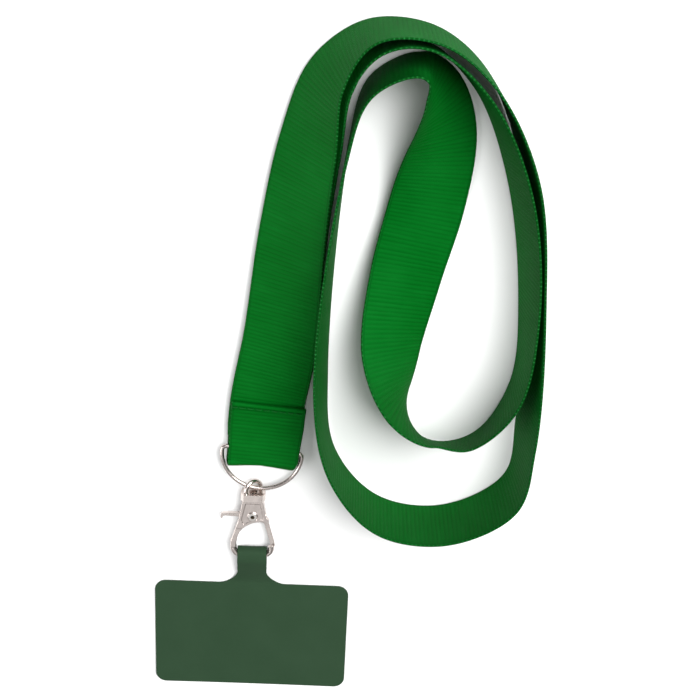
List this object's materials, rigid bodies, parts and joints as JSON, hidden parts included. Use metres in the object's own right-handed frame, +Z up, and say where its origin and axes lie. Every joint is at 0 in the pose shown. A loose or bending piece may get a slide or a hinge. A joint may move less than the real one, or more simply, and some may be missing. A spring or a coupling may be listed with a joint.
{
  "type": "phone lanyard",
  "caption": "Flat ribbon neck lanyard with a sewn D-ring end, a swivel trigger snap hook and a T-shaped tether tab that goes inside a phone case.",
  "frame": {"origin": "on the table under the middle of the metal parts, the fold and the tab taken together, leaving the free ribbon out", "axes": "+Z up from the table, +Y from the tab through the hook towards the neck loop, +X to the right"},
  "size_m": [0.1269, 0.2482, 0.0256],
  "materials": {
    "ribbon": "ribbed woven ribbon with a satin sheen",
    "thread": "spun sewing thread",
    "ring_steel": "nickel plated wire, polished",
    "hook_nickel": "nickel plated casting, satin",
    "gate_steel": "nickel plated stamping, polished",
    "spring_steel": "bare spring wire",
    "tab_fabric": "matt coated woven sheet"
  },
  "bodies": {
    "strap": {"neck_strap": "ribbon", "strap_end_fold": "ribbon", "fold_stitching": "thread"},
    "ring": {"d_ring": "ring_steel"},
    "eye": {"swivel_eye": "hook_nickel"},
    "hook": {"hook_body": "hook_nickel", "swivel_post": "hook_nickel", "gate_rivet": "gate_steel", "gate_spring": "spring_steel"},
    "gate": {"gate_lever": "gate_steel"},
    "tab": {"phone_tab": "tab_fabric"}
  },
  "joints": [
    {"name": "ring_swing", "type": "hinge", "parent": "strap", "child": "ring", "pos_m": [0.00282, 0.0409, 0.003], "axis": [0.9969, -0.0785, 0], "range_deg": [-90, 90]},
    {"name": "eye_slide", "type": "hinge", "parent": "ring", "child": "eye", "pos_m": [0.0027, 0.0394, 0.003], "axis": [0, 0, 1], "range_deg": [-30, 30]},
    {"name": "hook_swivel", "type": "hinge", "parent": "eye", "child": "hook", "pos_m": [0, 0.0215, 0.003], "axis": [0, 1, 0], "continuous": true},
    {"name": "gate", "type": "hinge", "parent": "hook", "child": "gate", "pos_m": [0, 0.015, 0.003], "axis": [0, 0, -1], "range_deg": [0, 12], "stiffness_Nm_per_rad": 0.004, "springref_deg": -28.65},
    {"name": "tab_swing", "type": "hinge", "parent": "hook", "child": "tab", "pos_m": [0, -0.0012, 0.003], "axis": [1, 0, 0], "range_deg": [-75, 75]}
  ]
}
